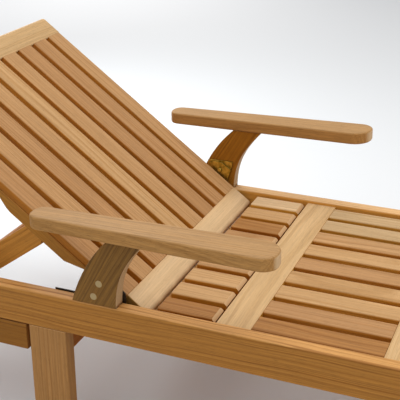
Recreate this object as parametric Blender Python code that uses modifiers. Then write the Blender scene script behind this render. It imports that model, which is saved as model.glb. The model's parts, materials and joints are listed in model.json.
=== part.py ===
"""Reclining teak sun lounger: side rails, slatted seat, hinged backrest with a prop, pull-out tray.

Metres, +Z up. +X points to the foot end, the origin is on the floor under the middle of the frame.
The backrest stands on its rack at BACK_ANGLE; the hinge empties turn it and its prop.
"""

import math

import bmesh
import bpy
from mathutils import Matrix, Vector

# ---------------------------------------------------------------- driving dimensions
LENGTH = 2.000
WIDTH = 0.700
SEAT_HEIGHT = 0.340
GAP = 0.0003
EASE = 0.0025

RAIL_THICK = 0.032
RAIL_TOP = SEAT_HEIGHT + 0.0065
RAIL_BOTTOM = SEAT_HEIGHT - 0.0735
RAIL_INNER = WIDTH / 2 - RAIL_THICK
CLEAR_WIDTH = RAIL_INNER - GAP

SLAT_THICK = 0.018
SLAT_PITCH = 0.070
SLAT_WIDTH = 0.0541
SLAT_COUNT = 9
BACK_PITCH = 0.0696
SLAT_UNDER = SEAT_HEIGHT - SLAT_THICK

BOARD_WIDTH = 0.0713
BOARD_STEP = 0.329
BOARD_COUNT = 4
FIRST_BOARD = -0.075
SHORT_SLAT_HEAD = FIRST_BOARD - 0.1296
SHORT_SLAT_FOOT = FIRST_BOARD - 0.0065
SHORT_SLAT_OFFSET = 0.003
FIRST_SLAT_TRIM = 0.0025
BATTEN_WIDTH = 0.032
BATTEN_THICK = 0.020
BATTEN_INSET = 0.014

BACK_ANGLE = math.radians(36.2)
HINGE_X = -0.2552
HINGE_DEPTH = 0.035
HINGE_ROD_RADIUS = 0.005
ROD_CLEARANCE = 0.0003
LOWER_RAIL_END = 0.041
LOWER_RAIL_NOSE = -0.019
LOWER_RAIL_THICK = 0.046
NOSE_RADIUS = 0.010
BACK_LENGTH = 0.700
TOP_RAIL_WIDTH = 0.058
CHEEK_DEPTH = 0.0455
CHEEK_THICK = 0.0255
BACK_HALF_WIDTH = 4 * BACK_PITCH + SLAT_WIDTH / 2

PROP_LENGTH = 0.272
PROP_ARM_THICK = 0.0215
PROP_ARM_UPPER = 0.016
PROP_ARM_LOWER = 0.034
PROP_ROD_RADIUS = 0.004
BORE_WALL = 0.006
FOOT_BAR_RADIUS = 0.011
FOOT_BAR_HALF = 0.314
RACK_ANGLES = (14, 25.5, 36.2, 46.5, 57)
RACK_THICK = 0.022

ARM_TOP = SEAT_HEIGHT + 0.1982
ARM_TILT = math.radians(1.09)
ARM_THICK = 0.0289
ARM_HEAD = -0.453
ARM_FOOT = 0.064
ARM_INNER = (0.3163, 0.3126)
ARM_OUTER = (0.3725, 0.3913)
ARM_INNER_RADII = (0.024, 0.045)
ARM_OUTER_RADII = (0.024, 0.031)
ARM_EDGE = 0.005
SUPPORT_OUTER = 0.3485

PLATE_THICK = 0.0025
BRACKET_TOE = {"near": -0.2665, "far": -0.2930}
LEG_WIDTH = 0.088
LEG_STARTS = {"head": -0.4785, "foot": 0.897}
LEG_RAIL_Z = (0.180, 0.230)
LEG_RAIL_HALF = 0.016

RUNNER_WIDTH = 0.040
RUNNER_HEIGHT = 0.050
TRAY_FOOT = -0.4865
TRAY_HEAD = -0.7865
TRAY_GAP = 0.008
TRAY_FRONT_HEIGHT = 0.060
TRAY_FRONT_THICK = 0.014
TRAY_BACK = -0.140
TRAY_BASE_THICK = 0.012
TRAY_BASE_Z = RAIL_BOTTOM - 0.048
TRAY_LIP = 0.010
TRAY_LIP_THICK = 0.006
BEARER_WIDTH = 0.020
BEARER_HEIGHT = 0.030
TONGUE_REACH = 0.016
TONGUE_THICK = 0.008

# ---------------------------------------------------------------- scene and materials
for old in list(bpy.data.objects):
    bpy.data.objects.remove(old, do_unlink=True)

lounger = bpy.data.collections.new("sun_lounger")
cutters = bpy.data.collections.new("cutters")
bpy.context.scene.collection.children.link(lounger)
bpy.context.scene.collection.children.link(cutters)


def finish_of(name, colour, roughness, metallic=0.0):
    material = bpy.data.materials.new(name)
    material.use_nodes = True
    shader = material.node_tree.nodes["Principled BSDF"]
    shader.inputs["Base Color"].default_value = (*colour, 1.0)
    shader.inputs["Roughness"].default_value = roughness
    shader.inputs["Metallic"].default_value = metallic
    return material


FRAME_TEAK = finish_of("frame_teak", (0.52, 0.27, 0.11), 0.55)
SLAT_TEAK = finish_of("slat_teak", (0.63, 0.38, 0.19), 0.55)
BOARD_TEAK = finish_of("board_teak", (0.71, 0.47, 0.25), 0.55)
ARM_TEAK = finish_of("arm_teak", (0.62, 0.39, 0.20), 0.5)
DARK_TEAK = finish_of("dark_teak", (0.24, 0.13, 0.055), 0.6)
BRASS = finish_of("brass", (0.60, 0.40, 0.09), 0.35, 1.0)
STEEL = finish_of("steel", (0.55, 0.55, 0.56), 0.3, 1.0)


# ---------------------------------------------------------------- building helpers
def place(obj, material, parent=None, collection=lounger):
    """Links an object, gives it its finish and hangs it on a hinge or slide, if it has one."""
    collection.objects.link(obj)
    if material:
        obj.data.materials.append(material)
    obj.parent = parent
    return obj


def soften(obj, width, segments=1):
    """Eased edges, as a router leaves them on timber."""
    if width:
        bevel = obj.modifiers.new("eased_edges", "BEVEL")
        bevel.width = width
        bevel.segments = segments
        bevel.limit_method = "ANGLE"
        bevel.angle_limit = math.radians(40)
    return obj


def beam(name, low, high, material, ease=EASE, parent=None):
    """A straight piece of timber between two corners."""
    low, high = Vector(low), Vector(high)
    shape = bmesh.new()
    bmesh.ops.create_cube(shape, size=1.0)
    bmesh.ops.scale(shape, vec=high - low, verts=shape.verts)
    mesh = bpy.data.meshes.new(name)
    shape.to_mesh(mesh)
    shape.free()
    obj = bpy.data.objects.new(name, mesh)
    obj.location = (low + high) / 2
    return soften(place(obj, material, parent), ease)


def plate(name, outline, low, high, material, ease=EASE, parent=None, upright=True):
    """A flat outline cut from board. Upright ones are drawn in X and Z and run from low to high in Y."""
    curve = bpy.data.curves.new(name, "CURVE")
    curve.dimensions = "2D"
    curve.fill_mode = "BOTH"
    curve.extrude = (high - low) / 2
    spline = curve.splines.new("POLY")
    spline.points.add(len(outline) - 1)
    for point, (across, along) in zip(spline.points, outline):
        point.co = (across, along, 0.0, 1.0)
    spline.use_cyclic_u = True
    drawn = bpy.data.objects.new(name + "_outline", curve)
    lounger.objects.link(drawn)
    graph = bpy.context.evaluated_depsgraph_get()
    mesh = bpy.data.meshes.new_from_object(drawn.evaluated_get(graph))
    bpy.data.objects.remove(drawn, do_unlink=True)
    shape = bmesh.new()
    shape.from_mesh(mesh)
    bmesh.ops.remove_doubles(shape, verts=shape.verts, dist=1e-6)
    bmesh.ops.recalc_face_normals(shape, faces=shape.faces)
    middle = (low + high) / 2
    if upright:
        upended = Matrix.Rotation(math.pi / 2, 3, "X")
        bmesh.ops.rotate(shape, cent=(0, 0, 0), matrix=upended, verts=shape.verts)
        bmesh.ops.translate(shape, vec=(0, middle, 0), verts=shape.verts)
    else:
        bmesh.ops.translate(shape, vec=(0, 0, middle), verts=shape.verts)
    shape.to_mesh(mesh)
    shape.free()
    mesh.name = name
    return soften(place(bpy.data.objects.new(name, mesh), material, parent), ease)


def rod(name, radius, half, material, at, parent=None, sides=24, collection=lounger):
    """A round bar along Y, with its middle at the given place."""
    shape = bmesh.new()
    bmesh.ops.create_cone(
        shape, cap_ends=True, segments=sides, radius1=radius, radius2=radius, depth=2 * half,
        matrix=Matrix.Rotation(math.pi / 2, 4, "X"))
    mesh = bpy.data.meshes.new(name)
    shape.to_mesh(mesh)
    shape.free()
    mesh.shade_smooth()
    mesh.set_sharp_from_angle(angle=math.radians(40))
    obj = bpy.data.objects.new(name, mesh)
    obj.location = at
    return place(obj, material, parent, collection)


def bore(obj, radius, half, at, parent=None):
    """Drills a hole along Y through an object."""
    cutter = rod(obj.name + "_bore", radius, half, None, at, parent, collection=cutters)
    cutter.hide_render = True
    cutter.display_type = "WIRE"
    hole = obj.modifiers.new("bore", "BOOLEAN")
    hole.operation = "DIFFERENCE"
    hole.object = cutter
    return obj


def joined(first, others):
    """Makes one body of a piece and the ones that are glued and screwed to it."""
    for other in others:
        union = first.modifiers.new("joined", "BOOLEAN")
        union.operation = "UNION"
        union.object = other
    graph = bpy.context.evaluated_depsgraph_get()
    mesh = bpy.data.meshes.new_from_object(first.evaluated_get(graph))
    first.modifiers.clear()
    first.data = mesh
    for other in others:
        bpy.data.objects.remove(other, do_unlink=True)
    return first


def arc(centre, radius, start, end, steps):
    """Points on an arc, with its angles in degrees."""
    turns = [math.radians(start + (end - start) * step / steps) for step in range(steps + 1)]
    return [(centre[0] + radius * math.cos(turn), centre[1] + radius * math.sin(turn)) for turn in turns]


def bezier(start, lead, trail, end, steps):
    """Points on a cubic curve."""
    points = []
    for step in range(steps + 1):
        t = step / steps
        weights = ((1 - t) ** 3, 3 * t * (1 - t) ** 2, 3 * t * t * (1 - t), t ** 3)
        points.append(tuple(
            sum(weight * point[axis] for weight, point in zip(weights, (start, lead, trail, end)))
            for axis in (0, 1)))
    return points


def hinge(name, at, turn, parent=None):
    """An empty on a joint's axis, which its moving pieces hang on."""
    pivot = bpy.data.objects.new(name, None)
    pivot.location = at
    pivot.rotation_euler = (0, turn, 0)
    pivot.parent = parent
    lounger.objects.link(pivot)
    return pivot


SIDES = (("near", -1), ("far", 1))


def span(side, inner, outer):
    """The two Y limits, low first, of a piece on one side."""
    return sorted((side * inner, side * outer))


# ---------------------------------------------------------------- fixed frame
def side_rails():
    for label, side in SIDES:
        low, high = span(side, RAIL_INNER, WIDTH / 2)
        rail = beam(
            "side_rail_" + label, (-LENGTH / 2, low, RAIL_BOTTOM), (LENGTH / 2, high, RAIL_TOP),
            FRAME_TEAK, ease=0.003)
        bore(rail, HINGE_ROD_RADIUS + ROD_CLEARANCE, 0.020,
             (HINGE_X, side * RAIL_INNER, SEAT_HEIGHT - HINGE_DEPTH))


def cross_rails():
    half = CLEAR_WIDTH
    beam("head_rail", (-LENGTH / 2 + 0.002, -half, RAIL_BOTTOM),
         (-LENGTH / 2 + 0.032, half, RAIL_TOP - 0.003), FRAME_TEAK)
    last_board = FIRST_BOARD + BOARD_STEP * (BOARD_COUNT - 1)
    beam("foot_rail", (last_board + 0.020, -half, RAIL_BOTTOM),
         (last_board + 0.052, half, SLAT_UNDER - GAP), FRAME_TEAK)
    beam("hinge_beam", (FIRST_BOARD - 0.1425, -half, SLAT_UNDER - GAP - 0.025),
         (FIRST_BOARD + 0.014, half, SLAT_UNDER - GAP), FRAME_TEAK)


def legs():
    """Flush under the side rails, the head pair well in from the end, with a rail between that pair."""
    for end, start in LEG_STARTS.items():
        for label, side in SIDES:
            low, high = span(side, RAIL_INNER, WIDTH / 2)
            beam(f"leg_{end}_{label}", (start, low, 0), (start + LEG_WIDTH, high, RAIL_BOTTOM - GAP),
                 FRAME_TEAK, ease=0.003)
    middle = LEG_STARTS["head"] + LEG_WIDTH / 2
    beam("leg_rail", (middle - LEG_RAIL_HALF, -CLEAR_WIDTH, LEG_RAIL_Z[0]),
         (middle + LEG_RAIL_HALF, CLEAR_WIDTH, LEG_RAIL_Z[1]), FRAME_TEAK)


def seat():
    half_slat = SLAT_WIDTH / 2
    for number in range(BOARD_COUNT):
        head = FIRST_BOARD + BOARD_STEP * number
        beam(f"cross_board_{number + 1}", (head, -CLEAR_WIDTH, SLAT_UNDER),
             (head + BOARD_WIDTH, CLEAR_WIDTH, SEAT_HEIGHT), BOARD_TEAK, ease=0.001)
    middles = [(row - (SLAT_COUNT - 1) / 2) * SLAT_PITCH for row in range(SLAT_COUNT)]
    for row, middle in enumerate(middles):
        low, high = middle + SHORT_SLAT_OFFSET - half_slat, middle + SHORT_SLAT_OFFSET + half_slat
        if row == 0:
            low += FIRST_SLAT_TRIM
        beam(f"short_slat_{row + 1}", (SHORT_SLAT_HEAD, low, SLAT_UNDER),
             (SHORT_SLAT_FOOT, high, SEAT_HEIGHT), SLAT_TEAK)
    for panel in range(BOARD_COUNT - 1):
        head = FIRST_BOARD + BOARD_STEP * panel + BOARD_WIDTH + GAP
        foot = FIRST_BOARD + BOARD_STEP * (panel + 1) - GAP
        slats = [
            beam(f"panel_slat_{row}", (head, middle - half_slat, SLAT_UNDER),
                 (foot, middle + half_slat, SEAT_HEIGHT), SLAT_TEAK)
            for row, middle in enumerate(middles)]
        battens = [
            beam(f"panel_batten_{start}", (start, -CLEAR_WIDTH, SLAT_UNDER - BATTEN_THICK),
                 (start + BATTEN_WIDTH, CLEAR_WIDTH, SLAT_UNDER + 0.0005), SLAT_TEAK, ease=0)
            for start in (head + BATTEN_INSET, foot - BATTEN_INSET - BATTEN_WIDTH)]
        joined(battens[0], slats + battens[1:]).name = f"slat_panel_{panel + 1}"


# ---------------------------------------------------------------- armrests
def arm_underside(x):
    """Height of the tilted armrest's lower face."""
    return ARM_TOP + x * math.tan(ARM_TILT) - ARM_THICK / math.cos(ARM_TILT)


def armrests():
    """Each armrest widens towards the foot end and lies on a curved support on the side rail."""
    corners = (
        (ARM_HEAD, ARM_OUTER[0], 1, -1, ARM_OUTER_RADII[0], 90),
        (ARM_HEAD, ARM_INNER[0], 1, 1, ARM_INNER_RADII[0], 180),
        (ARM_FOOT, ARM_INNER[1], -1, 1, ARM_INNER_RADII[1], 270),
        (ARM_FOOT, ARM_OUTER[1], -1, -1, ARM_OUTER_RADII[1], 0))
    outline = []
    for x, y, inward_x, inward_y, radius, start in corners:
        outline += arc((x + inward_x * radius, y + inward_y * radius), radius, start, start + 90, 8)
    base = RAIL_TOP + GAP
    head = [(x, arm_underside(x) - GAP) for x in (-0.2030, -0.2760)]
    front = bezier((-0.2730, base), (-0.2725, 0.415), (-0.2510, 0.452), head[0], 12)
    rear = bezier(head[1], (-0.3295, 0.457), (-0.3580, 0.393), (-0.3715, base), 12)
    for label, side in SIDES:
        arm = plate("armrest_" + label, [(x, side * y) for x, y in outline], -ARM_THICK, 0,
                    ARM_TEAK, ease=ARM_EDGE, upright=False)
        arm.modifiers["eased_edges"].segments = 2
        arm.location = (0, 0, ARM_TOP)
        arm.rotation_euler = (0, -ARM_TILT, 0)
        low, high = span(side, RAIL_INNER, SUPPORT_OUTER)
        plate("arm_support_" + label, front + rear, low, high, DARK_TEAK, ease=0.0015)


def arm_hardware():
    """A brass plate ties each support to its rail, and a leaning strap is bolted over it."""
    z = SEAT_HEIGHT
    upper_edge = (
        [(-0.2850, z + 0.0450), (-0.2786, z + 0.0640), (-0.2757, z + 0.0800)]
        + arc((-0.3350, z + 0.0710), 0.009, 90, 180, 4)
        + [(-0.3440, z + 0.0088), (-0.4280, z + 0.0088)])
    strap = [
        (-0.3740, z - 0.028), (-0.3090, z - 0.028), (-0.2790, z + 0.0590), (-0.3055, z + 0.0765),
        (-0.3260, z + 0.0775), (-0.3410, z + 0.0700)]
    for label, side in SIDES:
        outer = RAIL_INNER - GAP
        toe = BRACKET_TOE[label]
        back_plate = [(-0.4280, z - 0.030), (toe, z - 0.030), (toe, z + 0.0260)] + upper_edge
        plate("arm_bracket_" + label, back_plate, *span(side, outer - PLATE_THICK, outer), BRASS, ease=0)
        outer -= PLATE_THICK + GAP
        plate("arm_strap_" + label, strap, *span(side, outer - PLATE_THICK, outer), BRASS, ease=0)


# ---------------------------------------------------------------- backrest
def lie(distance, depth):
    """Hinge coordinates of a point of the flat backrest: along it from the hinge, and below its face."""
    return -distance, HINGE_DEPTH - depth


def backrest():
    axis = hinge("backrest_hinge", (HINGE_X, 0, SEAT_HEIGHT - HINGE_DEPTH), BACK_ANGLE)
    half_slat = SLAT_WIDTH / 2
    top_rail_start = BACK_LENGTH - TOP_RAIL_WIDTH
    foot_x, under = lie(LOWER_RAIL_END + GAP, SLAT_THICK)
    head_x, face = lie(top_rail_start - GAP, 0)
    for row in range(SLAT_COUNT):
        middle = (row - (SLAT_COUNT - 1) / 2) * BACK_PITCH
        name = {0: "back_stile_near", SLAT_COUNT - 1: "back_stile_far"}.get(row, f"back_slat_{row}")
        beam(name, (head_x, middle - half_slat, under), (foot_x, middle + half_slat, face),
             SLAT_TEAK, parent=axis)

    nose_x, bottom = lie(LOWER_RAIL_NOSE, LOWER_RAIL_THICK)
    back_x, _ = lie(LOWER_RAIL_END, 0)
    outline = (
        [(back_x, bottom), (nose_x - 0.004, bottom), (nose_x + 0.004, bottom + 0.008)]
        + arc((nose_x - NOSE_RADIUS, face - NOSE_RADIUS), NOSE_RADIUS, 0, 90, 8)
        + [(back_x, face)])
    lower = plate("back_lower_rail", outline, -BACK_HALF_WIDTH, BACK_HALF_WIDTH, BOARD_TEAK,
                  ease=0.0012, parent=axis)
    lower.modifiers["eased_edges"].angle_limit = math.radians(60)
    bore(lower, HINGE_ROD_RADIUS + ROD_CLEARANCE, 0.4, (0, 0, 0), axis)
    rod("hinge_rod", HINGE_ROD_RADIUS, RAIL_INNER + 0.019, STEEL, (0, 0, 0), axis)

    end_x, _ = lie(BACK_LENGTH, 0)
    start_x, _ = lie(top_rail_start, 0)
    centre = end_x + SLAT_THICK / 2
    outline = (
        arc((centre, face - SLAT_THICK / 2), SLAT_THICK / 2, 90, 270, 8)
        + [(start_x, under), (start_x, face)])
    top = plate("back_top_rail", outline, -BACK_HALF_WIDTH, BACK_HALF_WIDTH, BOARD_TEAK,
                ease=0.0012, parent=axis)
    top.modifiers["eased_edges"].angle_limit = math.radians(60)

    cheek = [
        lie(0.123, SLAT_THICK + GAP), lie(0.186, CHEEK_DEPTH), lie(0.335, CHEEK_DEPTH),
        lie(0.350, CHEEK_DEPTH - 0.003), lie(0.398, SLAT_THICK + 0.006), lie(0.404, SLAT_THICK + GAP)]
    for label, side in SIDES:
        low, high = span(side, BACK_HALF_WIDTH - CHEEK_THICK, BACK_HALF_WIDTH)
        block = plate("back_cheek_" + label, cheek, low, high, FRAME_TEAK, ease=0.001,
                      parent=axis)
        bore(block, PROP_ROD_RADIUS + ROD_CLEARANCE, BACK_HALF_WIDTH - BORE_WALL,
             (-PROP_LENGTH, 0, 0), axis)
    batten_half = BACK_HALF_WIDTH - CHEEK_THICK - GAP
    near_x, batten_top = lie(0.160, SLAT_THICK + GAP)
    far_x, batten_bottom = lie(0.205, SLAT_THICK + GAP + BATTEN_THICK)
    beam("back_batten", (far_x, -batten_half, batten_bottom), (near_x, batten_half, batten_top),
         FRAME_TEAK, parent=axis)
    return axis


def prop(backrest_axis):
    """The prop folds flat under the backrest. Its foot bar stands on the racks, level with the hinge."""
    axis = hinge("prop_hinge", (-PROP_LENGTH, 0, 0), -2 * BACK_ANGLE, backrest_axis)
    foot = -PROP_LENGTH
    outline = (
        arc((0, 0), PROP_ARM_UPPER, 90, -135, 12)
        + [(-0.030, -PROP_ARM_LOWER), (foot + 0.014, -PROP_ARM_LOWER)]
        + arc((foot, 0), PROP_ARM_UPPER, 220, 90, 8))
    outer = BACK_HALF_WIDTH - CHEEK_THICK - 0.0007
    for label, side in SIDES:
        low, high = span(side, outer - PROP_ARM_THICK, outer)
        arm = plate("prop_arm_" + label, outline, low, high, FRAME_TEAK, ease=0, parent=axis)
        bore(arm, PROP_ROD_RADIUS + ROD_CLEARANCE, 0.4, (0, 0, 0), axis)
        bore(arm, FOOT_BAR_RADIUS + ROD_CLEARANCE, 0.4, (foot, 0, 0), axis)
    rod("prop_rod", PROP_ROD_RADIUS, BACK_HALF_WIDTH - BORE_WALL - 0.0005, STEEL, (0, 0, 0), axis)
    rod("prop_foot_bar", FOOT_BAR_RADIUS, FOOT_BAR_HALF, FRAME_TEAK, (foot, 0, 0), axis)


def racks():
    """Notched strips on the rails, with a notch for each angle of the backrest."""
    crest = SEAT_HEIGHT - HINGE_DEPTH - FOOT_BAR_RADIUS - 0.0005
    radius = FOOT_BAR_RADIUS + 0.001
    outline = []
    for angle in sorted(RACK_ANGLES):
        stand = HINGE_X - 2 * PROP_LENGTH * math.cos(math.radians(angle))
        outline += arc((stand, crest + 0.003), radius, 195, 345, 6)
    head, foot = outline[0][0] - 0.020, outline[-1][0] + 0.020
    base = RAIL_BOTTOM + 0.002
    outline = [(head, crest)] + outline + [(foot, crest), (foot, base), (head, base)]
    for label, side in SIDES:
        outer = RAIL_INNER - GAP
        plate("prop_rack_" + label, outline, *span(side, outer - RACK_THICK, outer), FRAME_TEAK,
              ease=0)


# ---------------------------------------------------------------- pull-out tray
def tray():
    """A shallow tray slides out to the near side. Tongues of two runners hold the lips of its board."""
    under = RAIL_BOTTOM - GAP
    leg_face = LEG_STARTS["head"]
    leg_rail_face = leg_face + LEG_WIDTH / 2 - LEG_RAIL_HALF
    bearer_back = TRAY_BACK - BEARER_WIDTH
    head_end = TRAY_HEAD - TRAY_GAP
    head_start = head_end - RUNNER_WIDTH
    foot_top = LEG_RAIL_Z[1] + 0.005

    beam("tray_bearer", (head_start, bearer_back, under - RUNNER_HEIGHT - GAP - BEARER_HEIGHT),
         (leg_rail_face - GAP, TRAY_BACK, under - RUNNER_HEIGHT - GAP), FRAME_TEAK, ease=0.0015)
    runners = (
        ("head", (head_start, -WIDTH / 2, under - RUNNER_HEIGHT), (head_end, TRAY_BACK, under),
         (head_end - 0.002, head_end + TONGUE_REACH)),
        ("foot", (leg_face, -CLEAR_WIDTH, foot_top - RUNNER_HEIGHT),
         (leg_rail_face - GAP, bearer_back - GAP, foot_top),
         (leg_face - TONGUE_REACH, leg_face + 0.002)))
    levels = (
        (TRAY_BASE_Z - GAP - TONGUE_THICK, TRAY_BASE_Z - GAP),
        (TRAY_BASE_Z + TRAY_LIP_THICK + GAP, foot_top))
    for end, low, high, reach in runners:
        block = beam("tray_runner_" + end, low, high, FRAME_TEAK, ease=0)
        tongues = [
            beam(f"tongue_{level}", (reach[0], -CLEAR_WIDTH + 0.003, level[0]),
                 (reach[1], bearer_back - 0.002, level[1]), FRAME_TEAK, ease=0)
            for level in levels]
        joined(block, tongues)

    slide = hinge("tray_slide", (0, 0, 0), 0)
    front = -WIDTH / 2 + 0.002
    beam("tray_front", (TRAY_HEAD, front, under - 0.003 - TRAY_FRONT_HEIGHT),
         (TRAY_FOOT, front + TRAY_FRONT_THICK, under - 0.003), FRAME_TEAK, ease=0.0015, parent=slide)
    board_start = front + TRAY_FRONT_THICK + GAP
    board = beam("tray_board", (TRAY_HEAD + TRAY_LIP, board_start, TRAY_BASE_Z),
                 (TRAY_FOOT - TRAY_LIP, TRAY_BACK, TRAY_BASE_Z + TRAY_BASE_THICK), SLAT_TEAK, ease=0)
    lips = beam("tray_lips", (TRAY_HEAD, board_start, TRAY_BASE_Z),
                (TRAY_FOOT, TRAY_BACK, TRAY_BASE_Z + TRAY_LIP_THICK), SLAT_TEAK, ease=0)
    joined(board, [lips]).parent = slide


side_rails()
cross_rails()
legs()
seat()
armrests()
arm_hardware()
prop(backrest())
racks()
tray()
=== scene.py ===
"""Reclining teak sun lounger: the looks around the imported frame.

Metres, +Z up, +X to the foot end. Each piece stands for a CAD node, or for its share of one, with
rounded edges and its own cut of teak. The near side is the one at -Y.
"""

import json
import math
import random

import bmesh
import bpy
from mathutils import Euler, Matrix, Vector


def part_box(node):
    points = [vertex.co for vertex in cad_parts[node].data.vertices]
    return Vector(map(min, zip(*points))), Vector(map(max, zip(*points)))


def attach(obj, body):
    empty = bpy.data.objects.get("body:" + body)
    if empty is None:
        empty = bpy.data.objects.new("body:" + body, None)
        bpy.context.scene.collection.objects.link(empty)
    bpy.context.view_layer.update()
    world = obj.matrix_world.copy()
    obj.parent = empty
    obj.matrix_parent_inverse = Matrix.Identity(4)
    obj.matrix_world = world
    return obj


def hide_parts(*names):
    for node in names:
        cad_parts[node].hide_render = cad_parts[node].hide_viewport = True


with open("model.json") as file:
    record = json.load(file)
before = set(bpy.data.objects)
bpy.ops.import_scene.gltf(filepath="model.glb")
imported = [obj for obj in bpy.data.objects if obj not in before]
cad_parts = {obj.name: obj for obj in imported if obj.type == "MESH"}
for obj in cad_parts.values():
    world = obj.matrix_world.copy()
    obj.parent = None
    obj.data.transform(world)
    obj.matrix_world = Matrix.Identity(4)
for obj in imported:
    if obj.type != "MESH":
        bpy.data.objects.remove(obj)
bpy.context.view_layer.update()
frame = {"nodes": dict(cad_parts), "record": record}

nodes = frame["nodes"]
record = frame["record"]
BODY_OF = {node: body for body, names in record["behaviour"]["bodies"].items() for node in names}

SIDES = (("near", -1), ("far", 1))
X, Y, Z = 0, 1, 2
SEAT = 0.340
GAP = 0.0003

# ---------------------------------------------------------------- joint frames
BACK_ANGLE = math.radians(36.2)
PROP_LENGTH = 0.272
HINGE_DEPTH = 0.035
HERE = Matrix.Identity(4)
BACK = Matrix.Translation((-0.2552, 0, SEAT - HINGE_DEPTH)) @ Matrix.Rotation(BACK_ANGLE, 4, "Y")
PROP = BACK @ Matrix.Translation((-PROP_LENGTH, 0, 0)) @ Matrix.Rotation(-2 * BACK_ANGLE, 4, "Y")
FRAME_OF = {"frame": HERE, "backrest": BACK, "prop": PROP, "tray": HERE}


# ---------------------------------------------------------------- node graph helper
def put(tree, kind, settings=None, **inputs):
    """Adds a shader node. An input takes a value or another node's output."""
    made = tree.nodes.new("ShaderNode" + kind)
    for key, value in (settings or {}).items():
        setattr(made, key, value)
    for key, value in inputs.items():
        name = key.replace("_", " ")
        socket = made.inputs[int(key[1:])] if key[1:].isdigit() else made.inputs[name]
        if isinstance(value, bpy.types.NodeSocket):
            tree.links.new(value, socket)
        else:
            socket.default_value = value
    return made


def ramp(tree, factor, *stops):
    """A colour ramp from (position, grey or colour) stops."""
    made = put(tree, "ValToRGB", Fac=factor)
    elements = made.color_ramp.elements
    while len(elements) < len(stops):
        elements.new(0.5)
    for element, (position, colour) in zip(elements, stops):
        element.position = position
        shade = (colour,) * 3 if isinstance(colour, (int, float)) else colour
        element.color = (*shade, 1.0)
    return made.outputs["Color"]


def blend_colour(tree, factor, first, second, mode="MIX"):
    made = put(tree, "Mix", {"data_type": "RGBA", "blend_type": mode})
    for index, value in ((0, factor), (6, first), (7, second)):
        if isinstance(value, bpy.types.NodeSocket):
            tree.links.new(value, made.inputs[index])
        else:
            made.inputs[index].default_value = value if index == 0 else (*value, 1.0)
    return made.outputs[2]


def new_material(name):
    material = bpy.data.materials.new(name)
    material.use_nodes = True
    tree = material.node_tree
    return material, tree, tree.nodes["Principled BSDF"]


# ---------------------------------------------------------------- teak
TO_GRAIN = {X: (0, 0, 0), Y: (0, 0, -math.pi / 2), Z: (0, math.pi / 2, 0)}


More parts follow.
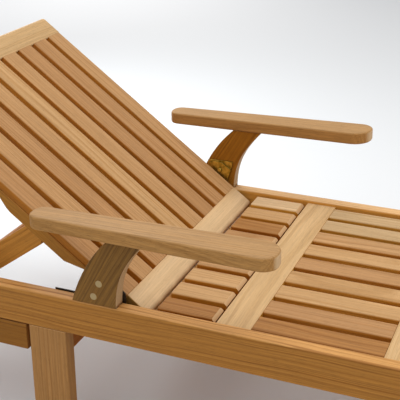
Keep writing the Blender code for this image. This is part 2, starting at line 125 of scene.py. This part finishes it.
def teak(name, tone, along=X, lean=0.0, figure=1.0, contrast=1.0, flank=(0.90, 0.61, 0.12),
         ends=(0.80, 0.74, 0.60), rim=None, slant=None):
    """A cut of teak. The rings of the log, its fibres and its pores run through the whole piece.

    tone is (base, streak), along the axis of the grain, and lean turns the grain in the X-Z plane.
    flank is painted shade that deepens the faces that don't look up, ends darkens the end grain and
    on some pieces paints shade or light on the end faces, rim is a lighter colour for the faces that
    don't look along Y, on a piece cut from upright board, and slant is a painted highlight on a
    slanting saw cut.
    """
    draw = random.Random(name)
    base, streak = tone
    material, tree, shader = new_material(name)
    place = put(tree, "TexCoord")
    offset = tuple(draw.uniform(-9, 9) for _ in range(3))
    turn = Vector(TO_GRAIN[along]) + Vector((0, lean, math.radians(draw.uniform(-0.7, 0.7))))
    grain = put(tree, "Mapping", Vector=place.outputs["Object"], Rotation=tuple(turn)).outputs[0]

    wander = put(tree, "Mapping", Vector=grain, Location=offset, Scale=(1.6, 8, 8)).outputs[0]
    wander = put(tree, "TexNoise", Vector=wander, Scale=1.0, Detail=2.0).outputs["Color"]
    bent = put(tree, "VectorMath", {"operation": "MULTIPLY_ADD"}, _0=wander,
               _1=(0, 0.030 * figure, 0.030 * figure), _2=grain).outputs[0]
    angle = draw.uniform(0, 2 * math.pi)
    radius = draw.uniform(0.05, 0.16)
    pith = (0, radius * math.cos(angle), radius * math.sin(angle))
    section = put(tree, "VectorMath", {"operation": "MULTIPLY_ADD"}, _0=bent, _1=(0, 1, 1),
                  _2=pith).outputs[0]
    depth = put(tree, "VectorMath", {"operation": "LENGTH"}, _0=section).outputs["Value"]
    rings = put(tree, "TexNoise", {"noise_dimensions": "1D"}, W=depth,
                Scale=draw.uniform(150, 230), Detail=4.0, Roughness=0.62).outputs["Fac"]

    fibre = put(tree, "Mapping", Vector=grain, Location=offset, Scale=(9, 520, 520)).outputs[0]
    fibre = put(tree, "TexNoise", Vector=fibre, Scale=1.0, Detail=3.0).outputs["Fac"]
    pores = put(tree, "Mapping", Vector=grain, Location=offset, Scale=(55, 1500, 1500)).outputs[0]
    pores = put(tree, "TexNoise", Vector=pores, Scale=1.0, Detail=1.0).outputs["Fac"]
    cloud = put(tree, "Mapping", Vector=grain, Location=offset, Scale=(3.0, 26, 26)).outputs[0]
    cloud = put(tree, "TexNoise", Vector=cloud, Scale=1.0, Detail=2.0).outputs["Fac"]

    early = tuple(min(1, c * 1.08) for c in base)
    wood = blend_colour(tree, ramp(tree, rings, (0.38, 1.0), (0.56, 0.0)), early, streak)
    haze = tuple(c * k for c, k in zip(base, (0.94, 0.91, 0.86)))
    wood = blend_colour(tree, ramp(tree, cloud, (0.40, 0.0), (0.68, 0.65)), wood, haze)
    spread = 0.16 * contrast
    thread = ramp(tree, fibre, (0.30, 1 - spread), (0.70, 1 + spread * 0.6))
    wood = blend_colour(tree, 1.0, wood, thread, "MULTIPLY")
    pit = ramp(tree, pores, (0.30, 0.55), (0.40, 1.0))
    wood = blend_colour(tree, 0.6 * contrast, wood, pit, "MULTIPLY")

    normal = place.outputs["Normal"]
    # Painted shade: faces that don't look up are deepened to a darker, more saturated colour, as if
    # less light reached them.
    up = put(tree, "SeparateXYZ", Vector=normal).outputs["Z"]
    wood = blend_colour(tree, 1.0, wood, ramp(tree, up, (0.25, flank), (0.85, 1.0)), "MULTIPLY")
    if rim:
        # Faces that don't look along Y take the lighter rim colour over the grain's threads.
        side = put(tree, "SeparateXYZ", Vector=normal).outputs["Y"]
        side = put(tree, "Math", {"operation": "ABSOLUTE"}, _0=side).outputs[0]
        narrow_face_colour = blend_colour(tree, 1.0, thread, rim, "MULTIPLY")
        wood = blend_colour(tree, ramp(tree, side, (0.45, 1.0), (0.75, 0.0)), wood, narrow_face_colour)
    facing = put(tree, "Mapping", Vector=normal, Rotation=tuple(turn)).outputs[0]
    facing = put(tree, "SeparateXYZ", Vector=facing).outputs["X"]
    facing = put(tree, "Math", {"operation": "ABSOLUTE"}, _0=facing).outputs[0]
    # Painted highlight: slanting faces are painted pale, as if lit.
    if slant:
        wood = blend_colour(tree, ramp(tree, facing, (0.58, 0.0), (0.66, 0.9)), wood, slant)
    if not rim:
        # End faces take a darker end-grain colour. On the short slats, lower rail and armrests, the
        # ends factors also paint shade or light on them.
        end_grain_and_painted_light = tuple(c * k for c, k in zip(base, ends))
        wood = blend_colour(tree, ramp(tree, facing, (0.80, 0.0), (0.95, 0.85)), wood, end_grain_and_painted_light)
    tree.links.new(wood, shader.inputs["Base Color"])

    rough = put(tree, "MapRange", Value=fibre, From_Min=0.3, From_Max=0.7, To_Min=0.54, To_Max=0.70)
    tree.links.new(rough.outputs["Result"], shader.inputs["Roughness"])
    shader.inputs["Specular IOR Level"].default_value = 0.18
    relief = put(tree, "Math", {"operation": "MULTIPLY_ADD"}, _0=fibre, _1=0.6, _2=pores)
    bump = put(tree, "Bump", Strength=0.5, Distance=0.00022, Height=relief.outputs[0])
    tree.links.new(bump.outputs["Normal"], shader.inputs["Normal"])
    return material


def timber(red, green, blue, streak=(0.87, 0.80, 0.69)):
    """A tone: the base colour, and the darker colour of its streaks as a share of it."""
    return (red, green, blue), (red * streak[0], green * streak[1], blue * streak[2])


BOLD = (0.62, 0.52, 0.38)
FAINT = (0.92, 0.88, 0.80)
TONES = {
    "honey": timber(0.543, 0.317, 0.140),
    "tan": timber(0.497, 0.276, 0.119),
    "rose": timber(0.450, 0.237, 0.098),
    "gold": timber(0.570, 0.315, 0.110),
    "sand": timber(0.530, 0.355, 0.185, (0.84, 0.76, 0.64)),
    "russet": timber(0.387, 0.176, 0.050, (0.70, 0.60, 0.46)),
    "pale": timber(0.600, 0.385, 0.187, (0.90, 0.85, 0.76)),
    "cream": timber(0.655, 0.440, 0.240, (0.965, 0.945, 0.915)),
    "amber": timber(0.645, 0.330, 0.107, BOLD),
    "orange": timber(0.720, 0.440, 0.210),
    "arm": timber(0.430, 0.245, 0.101, (0.90, 0.85, 0.76)),
    "walnut": timber(0.235, 0.112, 0.022, (0.60, 0.56, 0.52)),
    "chestnut": timber(0.335, 0.130, 0.009, (0.74, 0.66, 0.55)),
    "umber": timber(0.400, 0.180, 0.036, (0.70, 0.60, 0.50)),
    "toffee": timber(0.540, 0.235, 0.048, (0.80, 0.72, 0.60)),
    "plug": timber(0.520, 0.420, 0.270, FAINT),
}


# ---------------------------------------------------------------- metal
def metal(name, colour, tarnish, roughness, edge_shade=1.0):
    """Rolled metal with fine drawn lines and soft blotches of tarnish. edge paints shade on a plate's
    rims.
    """
    material, tree, shader = new_material(name)
    place = put(tree, "TexCoord").outputs["Object"]
    blotch = put(tree, "TexNoise", Vector=place, Scale=85.0, Detail=3.0).outputs["Fac"]
    mixed = blend_colour(tree, ramp(tree, blotch, (0.40, 0.0), (0.65, 1.0)), colour, tarnish)
    if edge_shade < 1.0:
        # Painted shade: faces that don't look along Y, a plate's narrow rims, are darkened.
        across = put(tree, "TexCoord").outputs["Normal"]
        across = put(tree, "SeparateXYZ", Vector=across).outputs["Y"]
        across = put(tree, "Math", {"operation": "ABSOLUTE"}, _0=across).outputs[0]
        rim = ramp(tree, across, (0.45, edge_shade), (0.80, 1.0))
        mixed = blend_colour(tree, 1.0, mixed, rim, "MULTIPLY")
    tree.links.new(mixed, shader.inputs["Base Color"])
    shader.inputs["Metallic"].default_value = 1.0
    lines = put(tree, "Mapping", Vector=place, Scale=(60, 900, 2200)).outputs[0]
    lines = put(tree, "TexNoise", Vector=lines, Scale=1.0, Detail=2.0).outputs["Fac"]
    rough = put(tree, "MapRange", Value=lines, To_Min=roughness - 0.08, To_Max=roughness + 0.12)
    tree.links.new(rough.outputs["Result"], shader.inputs["Roughness"])
    bump = put(tree, "Bump", Strength=0.25, Distance=0.0001, Height=lines)
    tree.links.new(bump.outputs["Normal"], shader.inputs["Normal"])
    return material


# The brass plates get painted shade on their narrow rims.
BRASS = metal("aged_brass", (0.74, 0.53, 0.11), (0.36, 0.245, 0.035), 0.38, edge_shade=0.12)
# Painted shade: a near-black copy of the brass, for the near side's plates, which lie in shade.
BRASS_IN_SHADE = metal("brass_painted_shade", (0.075, 0.065, 0.055), (0.035, 0.030, 0.026), 0.45)
STEEL = metal("dull_steel", (0.12, 0.115, 0.11), (0.06, 0.055, 0.05), 0.45)


# ---------------------------------------------------------------- shapes
END_EASE = 0.0009


def bar(low, high, along, radius):
    """A planed bar: its long edges rounded to a radius, its two ends barely eased."""
    shape = bmesh.new()
    bmesh.ops.create_cube(shape, size=1.0)
    low, high = Vector(low), Vector(high)
    bmesh.ops.scale(shape, vec=high - low, verts=shape.verts)
    bmesh.ops.translate(shape, vec=(low + high) / 2, verts=shape.verts)
    long_edges = [e for e in shape.edges if abs((e.verts[0].co - e.verts[1].co)[along]) > 1e-6]
    bmesh.ops.bevel(shape, geom=long_edges, offset=radius, segments=3, profile=0.5,
                    affect="EDGES", clamp_overlap=True)
    rims = [e for e in shape.edges if abs((e.verts[0].co - e.verts[1].co)[along]) < 1e-7]
    bmesh.ops.bevel(shape, geom=rims, offset=END_EASE, segments=2, profile=0.5, affect="EDGES",
                    clamp_overlap=True)
    return shape


def slab(outline, low, high, radius, axes=(X, Z, Y), segments=3):
    """An outline in two axes, with a thickness along the third and its rims rounded."""
    across, up, deep = axes
    shape = bmesh.new()
    corners = []
    for u, v in outline:
        point = Vector()
        point[across], point[up], point[deep] = u, v, low
        corners.append(shape.verts.new(point))
    cap = shape.faces.new(corners)
    raised = bmesh.ops.extrude_face_region(shape, geom=[cap])
    shift = Vector()
    shift[deep] = high - low
    bmesh.ops.translate(
        shape, vec=shift, verts=[g for g in raised["geom"] if isinstance(g, bmesh.types.BMVert)])
    bmesh.ops.recalc_face_normals(shape, faces=shape.faces)
    rims = [e for e in shape.edges if abs(e.verts[0].co[deep] - e.verts[1].co[deep]) < 1e-7]
    bmesh.ops.bevel(shape, geom=rims, offset=radius, segments=segments, profile=0.5,
                    affect="EDGES", clamp_overlap=True)
    return shape


def turned(rings, sides=32):
    """A round shape about Y from (radius, y) rings, closed at both ends."""
    shape = bmesh.new()
    loops = []
    for radius, y in rings:
        loops.append([
            shape.verts.new((radius * math.cos(2 * math.pi * k / sides), y,
                             radius * math.sin(2 * math.pi * k / sides)))
            for k in range(sides)])
    for first, second in zip(loops, loops[1:]):
        for k in range(sides):
            shape.faces.new((first[k], first[(k + 1) % sides], second[(k + 1) % sides], second[k]))
    shape.faces.new(loops[0])
    shape.faces.new(loops[-1])
    bmesh.ops.recalc_face_normals(shape, faces=shape.faces)
    return shape


def cad_shape(node, at, width):
    """A CAD node's own solid in its joint's frame, with its sharp edges rounded."""
    shape = bmesh.new()
    shape.from_mesh(nodes[node].data)
    bmesh.ops.transform(shape, matrix=at.inverted(), verts=shape.verts)
    bmesh.ops.remove_doubles(shape, verts=shape.verts, dist=1e-5)
    bmesh.ops.dissolve_limit(shape, angle_limit=math.radians(1), verts=shape.verts,
                             edges=shape.edges)
    sharp = [e for e in shape.edges if len(e.link_faces) == 2
             and e.calc_face_angle(0) > math.radians(35)]
    bmesh.ops.bevel(shape, geom=sharp, offset=width, segments=2, profile=0.5, affect="EDGES",
                    clamp_overlap=True)
    return shape


def arc(centre, radius, start, end, steps):
    """Points on an arc, with its angles in degrees."""
    turns = [math.radians(start + (end - start) * step / steps) for step in range(steps + 1)]
    return [(centre[0] + radius * math.cos(t), centre[1] + radius * math.sin(t)) for t in turns]


def bezier(start, lead, trail, end, steps):
    """Points on a cubic curve."""
    points = []
    for step in range(steps + 1):
        t = step / steps
        weights = ((1 - t) ** 3, 3 * t * (1 - t) ** 2, 3 * t * t * (1 - t), t ** 3)
        points.append(tuple(
            sum(w * p[axis] for w, p in zip(weights, (start, lead, trail, end)))
            for axis in (0, 1)))
    return points


def box_in(node, at):
    """A CAD node's lowest and highest corner in a joint's frame."""
    back = at.inverted()
    points = [back @ v.co for v in nodes[node].data.vertices]
    return (Vector(min(p[k] for p in points) for k in range(3)),
            Vector(max(p[k] for p in points) for k in range(3)))


def finished(name, shape, body, material, at=HERE, stands_for=()):
    """Makes a shape a piece of the lounger: shaded, placed, riding on its body."""
    mesh = bpy.data.meshes.new(name)
    shape.to_mesh(mesh)
    shape.free()
    mesh.shade_smooth()
    mesh.materials.append(material)
    piece = bpy.data.objects.new(name, mesh)
    bpy.context.scene.collection.objects.link(piece)
    even = piece.modifiers.new("even_shading", "WEIGHTED_NORMAL")
    even.weight = 50
    piece.matrix_world = at
    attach(piece, body)
    if stands_for:
        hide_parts(*stands_for)
    return piece


def for_node(node, shape, tone, name=None, **cut):
    """The finished piece that stands for one CAD node."""
    body = BODY_OF[node]
    name = name or node + "_timber"
    material = teak(name, TONES[tone], **cut) if isinstance(tone, str) else tone
    return finished(name, shape, body, material, FRAME_OF[body], (node,))


def straight(node, along, radius, tone, **cut):
    """A straight bar of timber that fills its CAD node's box."""
    low, high = box_in(node, FRAME_OF[BODY_OF[node]])
    return for_node(node, bar(low, high, along, radius), tone, along=along, **cut)


# ---------------------------------------------------------------- fixed frame
RAIL_RADIUS = 0.0035
CROSS_RADIUS = 0.0028
# Painted shade on the side rails' faces that don't look up, darker on the near rail than on the far
# one.
RAIL_SIDE_SHADES = {"near": (0.69, 0.585, 0.325), "far": (0.87, 0.645, 0.23)}


def fixed_frame():
    for (label, _), tone in zip(SIDES, ("amber", "orange")):
        straight("side_rail_" + label, X, RAIL_RADIUS, tone, figure=1.4, flank=RAIL_SIDE_SHADES[label])
        for end in ("head", "foot"):
            # Painted shade on the legs' faces that don't look up.
            straight(f"leg_{end}_{label}", Z, RAIL_RADIUS, "orange", flank=(0.57, 0.46, 0.30))
        rack = "prop_rack_" + label
        for_node(rack, cad_shape(rack, HERE, 0.0008), "umber")
    for node in ("head_rail", "foot_rail", "hinge_beam", "leg_rail"):
        straight(node, Y, CROSS_RADIUS, "umber")


# ---------------------------------------------------------------- seat
BOARD_TONES = ("pale", "pale", "cream", "pale")
SHORT_TONES = ("russet", "honey", "honey", "tan", "rose", "rose", "russet", "honey", "cream")
PANEL_TONES = (
    ("russet", "rose", "honey", "honey", "rose", "honey", "tan", "sand", "sand"),
    ("tan", "honey", "rose", "gold", "honey", "tan", "honey", "rose", "gold"),
    ("honey", "rose", "tan", "honey", "gold", "rose", "honey", "tan", "honey"))
SLAT_RADIUS = 0.0038
SLAT_PITCH = 0.070
SLAT_HALF = 0.02705
SLAT_THICK = 0.018
SLAT_UNDER = SEAT - SLAT_THICK
FACET = 0.0070
FACET_EASE = 0.0005
BOARD_RADIUS = 0.0013
BATTEN_WIDTH = 0.032
BATTEN_INSET = 0.014
BATTEN_RADIUS = 0.002


def short_slat(node, tone):
    """A short slat's foot end is cut off slanting, and the facet that shows before the board is
    painted pale, a painted highlight.
    """
    low, high = box_in(node, HERE)
    shape = bar(low, high, X, SLAT_RADIUS)
    cut = bmesh.ops.bisect_plane(
        shape, geom=shape.verts[:] + shape.edges[:] + shape.faces[:],
        plane_co=(high.x - FACET, 0, high.z), plane_no=(1, 0, 1), clear_outer=True)
    rim = [g for g in cut["geom_cut"] if isinstance(g, bmesh.types.BMEdge)]
    bmesh.ops.contextual_create(shape, geom=rim)
    bmesh.ops.bevel(shape, geom=rim, offset=FACET_EASE, segments=1, profile=0.5, affect="EDGES",
                    clamp_overlap=True)
    # Painted shade on the upright end faces and a painted highlight on the slanting facets.
    return for_node(node, shape, tone, ends=(0.34, 0.27, 0.14), slant=(0.64, 0.40, 0.20))


def seat():
    for number, tone in enumerate(BOARD_TONES):
        straight(f"cross_board_{number + 1}", Y, BOARD_RADIUS, tone, contrast=0.8)
    for row, tone in enumerate(SHORT_TONES):
        short_slat(f"short_slat_{row + 1}", tone)
    for number, tones in enumerate(PANEL_TONES):
        node = f"slat_panel_{number + 1}"
        low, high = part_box(node)
        for row, tone in enumerate(tones):
            middle = (row - 4) * SLAT_PITCH
            shape = bar((low.x, middle - SLAT_HALF, SLAT_UNDER), (high.x, middle + SLAT_HALF, SEAT),
                        X, SLAT_RADIUS)
            for_node(node, shape, tone, f"{node}_slat_{row + 1}")
        last = high.x - BATTEN_INSET - BATTEN_WIDTH
        for label, start in (("head", low.x + BATTEN_INSET), ("foot", last)):
            shape = bar((start, low.y, low.z), (start + BATTEN_WIDTH, high.y, SLAT_UNDER - 0.0001),
                        Y, BATTEN_RADIUS)
            for_node(node, shape, "umber", f"{node}_batten_{label}", along=Y)


# ---------------------------------------------------------------- armrests
ARM_TOP = SEAT + 0.1982
ARM_TILT = math.radians(1.09)
ARM_THICK = 0.0289
ARM_HEAD, ARM_FOOT = -0.453, 0.064
ARM_RADIUS = 0.0045
ARM_CORNERS = (
    (ARM_HEAD, 0.3725, 1, -1, 0.024, 90),
    (ARM_HEAD, 0.3163, 1, 1, 0.024, 180),
    (ARM_FOOT, 0.3126, -1, 1, 0.045, 270),
    (ARM_FOOT, 0.3913, -1, -1, 0.031, 0))
RAIL_TOP = SEAT + 0.0065
RAIL_INNER = 0.318
SUPPORT_OUTER = 0.3485
SUPPORT_RADIUS = 0.0018
SUPPORT_LEAN = math.radians(60)
PLATE_FACE = RAIL_INNER - 0.0061
PLATE_RADIUS = 0.0005
BOLTS = ((-0.3092, 0.3956), (-0.3222, 0.3650))
PLUG_RINGS = ((0.0074, -0.004), (0.0074, 0.0001), (0.0071, 0.0004), (0.004, 0.0006))
BOLT_RINGS = ((0.0062, 0.0), (0.0062, 0.0030), (0.0052, 0.0038), (0.003, 0.0040))
SUPPORT_TONES = {"near": "walnut", "far": "chestnut"}


def arm_underside(x):
    """Height of the tilted armrest's lower face."""
    return ARM_TOP + x * math.tan(ARM_TILT) - ARM_THICK / math.cos(ARM_TILT)


def armrests():
    plan = []
    for x, y, inward_x, inward_y, radius, start in ARM_CORNERS:
        plan += arc((x + inward_x * radius, y + inward_y * radius), radius, start, start + 90, 16)
    at = Matrix.Translation((0, 0, ARM_TOP)) @ Matrix.Rotation(-ARM_TILT, 4, "Y")
    base = RAIL_TOP + GAP
    head = [(x, arm_underside(x) - GAP) for x in (-0.2030, -0.2760)]
    front = bezier((-0.2730, base), (-0.2725, 0.415), (-0.2510, 0.452), head[0], 28)
    rear = bezier(head[1], (-0.3295, 0.457), (-0.3580, 0.393), (-0.3715, base), 28)
    for label, side in SIDES:
        node = "armrest_" + label
        shape = slab([(x, side * y) for x, y in plan], -ARM_THICK, 0, ARM_RADIUS, (X, Y, Z), 5)
        # Painted shade on the armrests' faces that don't look up, and painted light on their end
        # faces, which are lighter than the top.
        wood = teak(node + "_timber", TONES["arm"], figure=0.8, contrast=1.3,
                    flank=(0.98, 0.87, 0.62), ends=(1.50, 1.85, 2.60))
        finished(node + "_timber", shape, "frame", wood, at, (node,))
        node = "arm_support_" + label
        low, high = sorted((side * RAIL_INNER, side * SUPPORT_OUTER))
        for_node(node, slab(front + rear, low, high, SUPPORT_RADIUS), SUPPORT_TONES[label],
                 lean=SUPPORT_LEAN, figure=1.6, flank=(1, 1, 1), rim=(0.49, 0.32, 0.165))


def facing(side, x, y, z):
    """A place on a vertical face, with +Y pointing out of the lounger."""
    return Matrix.Translation((x, side * y, z)) @ Matrix.Rotation(0 if side > 0 else math.pi, 4, "Z")


def hardware():
    """Brass plates and straps, the bolts through the supports, and the plugs over the bolts."""
    plug = teak("bolt_plug", TONES["plug"], along=Y)
    for label, side in SIDES:
        # The near side's plates take the painted-shade copy of the brass.
        plating = BRASS_IN_SHADE if side < 0 else BRASS
        for node in ("arm_bracket_" + label, "arm_strap_" + label):
            for_node(node, cad_shape(node, HERE, PLATE_RADIUS), plating, node + "_plate")
        for number, (x, z) in enumerate(BOLTS, 1):
            disc = turned(PLUG_RINGS)
            finished(f"bolt_plug_{label}_{number}", disc, "frame", plug,
                     facing(side, x, SUPPORT_OUTER, z))
            head = turned(BOLT_RINGS, 6)
            finished(f"bolt_head_{label}_{number}", head, "frame", BRASS,
                     facing(-side, x, -PLATE_FACE, z))


# ---------------------------------------------------------------- backrest
BACK_TONES = ("rose", "tan", "rose", "tan", "honey", "tan", "rose", "rose", "tan")
BACK_PITCH = 0.0696
BACK_HALF = 4 * BACK_PITCH + SLAT_HALF
BACK_LENGTH = 0.700
TOP_RAIL_START = 0.642
TOP_ROUND = 0.009
TOP_RADIUS = 0.0014
NOSE = -0.019
NOSE_DEPTH = 0.046
NOSE_ROUND = 0.010
NOSE_LEAN = 0.004
LOWER_RAIL_START = 0.041


def lie(distance, depth):
    """Hinge coordinates of a point of the flat backrest: along it from the hinge, below its face."""
    return -distance, HINGE_DEPTH - depth


def backrest():
    names = ["back_stile_near"] + [f"back_slat_{k}" for k in range(1, 8)] + ["back_stile_far"]
    for node, tone in zip(names, BACK_TONES):
        straight(node, X, SLAT_RADIUS, tone)
    straight("back_batten", Y, 0.0025, "umber")

    nose_x, bottom = lie(NOSE, NOSE_DEPTH)
    back_x, face = lie(LOWER_RAIL_START, 0)
    outline = [(back_x, bottom), (nose_x - NOSE_LEAN, bottom),
               (nose_x + NOSE_LEAN, bottom + 2 * NOSE_LEAN)]
    outline += arc((nose_x - NOSE_ROUND, face - NOSE_ROUND), NOSE_ROUND, 0, 90, 20)
    outline += [(back_x, face)]
    # Painted shade: the lower rail's end faces are darkened well beyond end grain.
    for_node("back_lower_rail", slab(outline, -BACK_HALF, BACK_HALF, CROSS_RADIUS), "cream", along=Y,
             contrast=0.6, ends=(0.36, 0.29, 0.12))

    end_x, _ = lie(BACK_LENGTH, 0)
    start_x, under = lie(TOP_RAIL_START, SLAT_THICK)
    outline = arc((end_x + TOP_ROUND, face - TOP_ROUND), TOP_ROUND, 90, 270, 20)
    outline += [(start_x, under), (start_x, face)]
    for_node("back_top_rail", slab(outline, -BACK_HALF, BACK_HALF, TOP_RADIUS), "pale", along=Y)
    for label, _ in SIDES:
        node = "back_cheek_" + label
        # Painted shade on the cheeks' faces that don't look up.
        for_node(node, cad_shape(node, BACK, 0.0012), "toffee", flank=(0.67, 0.65, 0.42))
    for_node("hinge_rod", cad_shape("hinge_rod", BACK, 0.0006), STEEL, "hinge_rod_bar")


def prop():
    for label, _ in SIDES:
        node = "prop_arm_" + label
        # Painted shade on the prop arms' faces that don't look up, in their blue only.
        for_node(node, cad_shape(node, PROP, 0.0015), "toffee", flank=(1.0, 1.0, 0.8))
    for_node("prop_foot_bar", cad_shape("prop_foot_bar", PROP, 0.0015), "toffee", along=Y)
    for_node("prop_rod", cad_shape("prop_rod", PROP, 0.0005), STEEL, "prop_rod_bar")


# ---------------------------------------------------------------- tray
def tray():
    for node in ("tray_runner_head", "tray_runner_foot"):
        for_node(node, cad_shape(node, HERE, 0.0008), "umber", along=Y)
    straight("tray_bearer", X, 0.0018, "umber")
    # Painted shade on the tray front's faces that don't look up.
    straight("tray_front", X, 0.0018, "russet", flank=(0.75, 0.66, 0.25))
    for_node("tray_board", cad_shape("tray_board", HERE, 0.0008), "tan")


# ---------------------------------------------------------------- room, light and camera
FLOOR_HALF = 25


def floor():
    shape = bmesh.new()
    bmesh.ops.create_grid(shape, x_segments=2, y_segments=2, size=FLOOR_HALF)
    mesh = bpy.data.meshes.new("floor")
    shape.to_mesh(mesh)
    shape.free()
    ground = bpy.data.objects.new("floor", mesh)
    bpy.context.scene.collection.objects.link(ground)
    material, _, shader = new_material("floor_paint")
    shader.inputs["Base Color"].default_value = (0.755, 0.76, 0.77, 1.0)
    shader.inputs["Roughness"].default_value = 0.9
    mesh.materials.append(material)


def softbox(name, place, aim, size, power, colour=(1, 1, 1), spread=180):
    light = bpy.data.lights.new(name, "AREA")
    light.shape = "DISK"
    light.size = size
    light.energy = power
    light.color = colour
    light.spread = math.radians(spread)
    lamp = bpy.data.objects.new(name, light)
    lamp.location = place
    lamp.rotation_euler = (Vector(aim) - Vector(place)).to_track_quat("-Z", "Y").to_euler()
    bpy.context.scene.collection.objects.link(lamp)


def light_and_camera():
    scene = bpy.context.scene
    world = bpy.data.worlds.new("studio")
    world.use_nodes = True
    sky = world.node_tree.nodes["Background"]
    sky.inputs["Color"].default_value = (0.96, 0.98, 1.0, 1.0)
    sky.inputs["Strength"].default_value = 0.50
    scene.world = world
    scene.view_settings.view_transform = "Standard"
    softbox("key", (0.3, 0.1, 4.0), (0, 0, 0.3), 4.4, 104, (1.0, 0.985, 0.955))
    softbox("fill", (-1.5, -3.0, 2.6), (0, 0, 0.3), 3.0, 19)
    softbox("backdrop", (-3.4, 4.8, 2.6), (-2.2, 3.4, 0), 2.0, 24, (1, 0.985, 0.97), 100)
    softbox("wash", (-2.0, 1.3, 1.3), (-0.8, 0.3, 0), 1.2, 23, (0.90, 0.965, 1.0))
    softbox("rim", (3.0, -0.4, 1.3), (0.1, 0, 0.45), 1.6, 13)

    camera = bpy.data.cameras.new("camera")
    camera.lens = 87.24
    camera.sensor_width = 36
    camera.clip_end = 100
    eye = bpy.data.objects.new("camera", camera)
    eye.location = (0.5155, -1.8339, 1.3080)
    eye.rotation_euler = Euler((math.radians(90 - 23.44), 0, math.radians(22.28)))
    scene.collection.objects.link(eye)
    scene.camera = eye


fixed_frame()
seat()
armrests()
hardware()
backrest()
prop()
tray()
floor()
light_and_camera()

bpy.context.view_layer.update()
